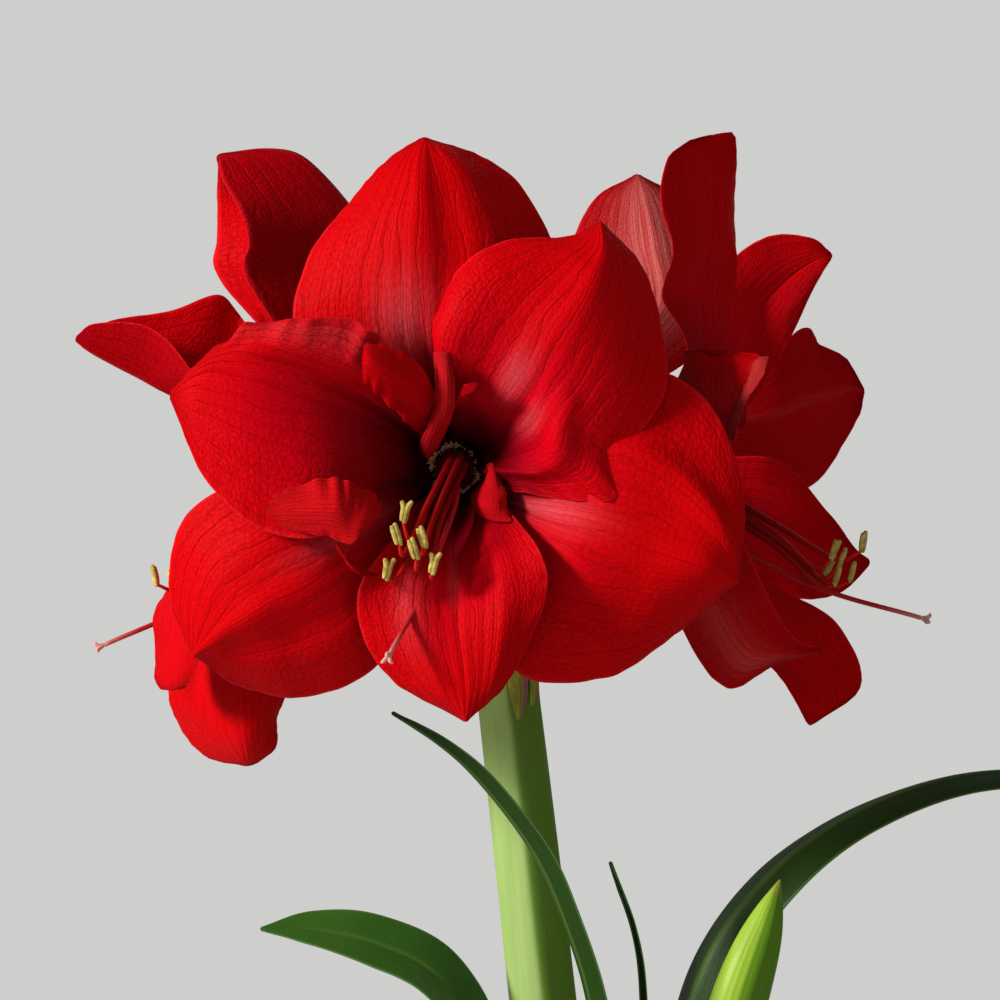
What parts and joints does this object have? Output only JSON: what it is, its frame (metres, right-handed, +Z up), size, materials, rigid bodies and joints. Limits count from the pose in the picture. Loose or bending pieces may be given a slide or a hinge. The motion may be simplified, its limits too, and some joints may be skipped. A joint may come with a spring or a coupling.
{
  "type": "potted amaryllis",
  "caption": "Amaryllis in a plain clay pot: a tall stalk with a head of large red trumpet blooms, a pointed bud on a short stalk, strap leaves and a bulb half out of its soil.",
  "frame": {"origin": "centre of the pot's flat underside", "axes": "+Z up along the plant; the front bloom faces -Y; +X to the right of someone who looks at it"},
  "size_m": [0.4164, 0.2419, 0.6532],
  "materials": {
    "petal": "velvety saturated red with fine lengthwise veins, a pebbled grain and a pink sheen at grazing light",
    "stamen": "red filaments with pale yellow powdery anthers, and a cream fringe in the throat",
    "style": "smooth red style that turns pink-white at its three-lobed stigma",
    "stalk": "smooth waxy light green with fine lengthwise ribs and a pale bloom",
    "pedicel": "smooth green flower stalk, flushed red towards the flower",
    "spathe": "dry thin papery bract, yellow-green with brown lengthwise veins",
    "bud": "waxy yellow-green with lengthwise ribs, paler at its ridge",
    "leaf": "satin dark green with fine parallel veins and a paler midrib",
    "bulb": "papery brown outer scales with lengthwise veins over a paler neck",
    "soil": "loose dark potting mix with crumbs and bark",
    "pot": "matt unglazed terracotta, slightly mottled"
  },
  "bodies": {
    "root": {"pot": "pot", "soil": "soil", "bulb": "bulb", "main_stalk": "stalk", "bud_stalk": "stalk", "bud": "bud", "spathe_front": "spathe", "spathe_side": "spathe", "leaf_front": "leaf", "leaf_thin": "leaf", "leaf_left": "leaf", "leaf_right": "leaf", "front_pedicel": "pedicel", "front_petal_top": "petal", "front_petal_lower_right": "petal", "front_petal_lower_left": "petal", "front_petal_upper_left": "petal", "front_petal_upper_right": "petal", "front_petal_bottom": "petal", "front_stamens": "stamen", "front_style": "style", "left_pedicel": "pedicel", "left_petal_up": "petal", "left_petal_lower_near": "petal", "left_petal_lower_far": "petal", "left_petal_near_up": "petal", "left_petal_bottom": "petal", "left_petal_far_up": "petal", "left_stamens": "stamen", "left_style": "style", "right_pedicel": "pedicel", "right_petal_up": "petal", "right_petal_lower_far": "petal", "right_petal_lower_near": "petal", "right_petal_far_up": "petal", "right_petal_bottom": "petal", "right_petal_near_up": "petal", "right_stamens": "stamen", "right_style": "style", "back_pedicel": "pedicel", "back_petal_top": "petal", "back_petal_lower_left": "petal", "back_petal_lower_right": "petal", "back_petal_upper_left": "petal", "back_petal_bottom": "petal", "back_petal_right": "petal", "back_stamens": "stamen", "back_style": "style"}
  },
  "joints": []
}
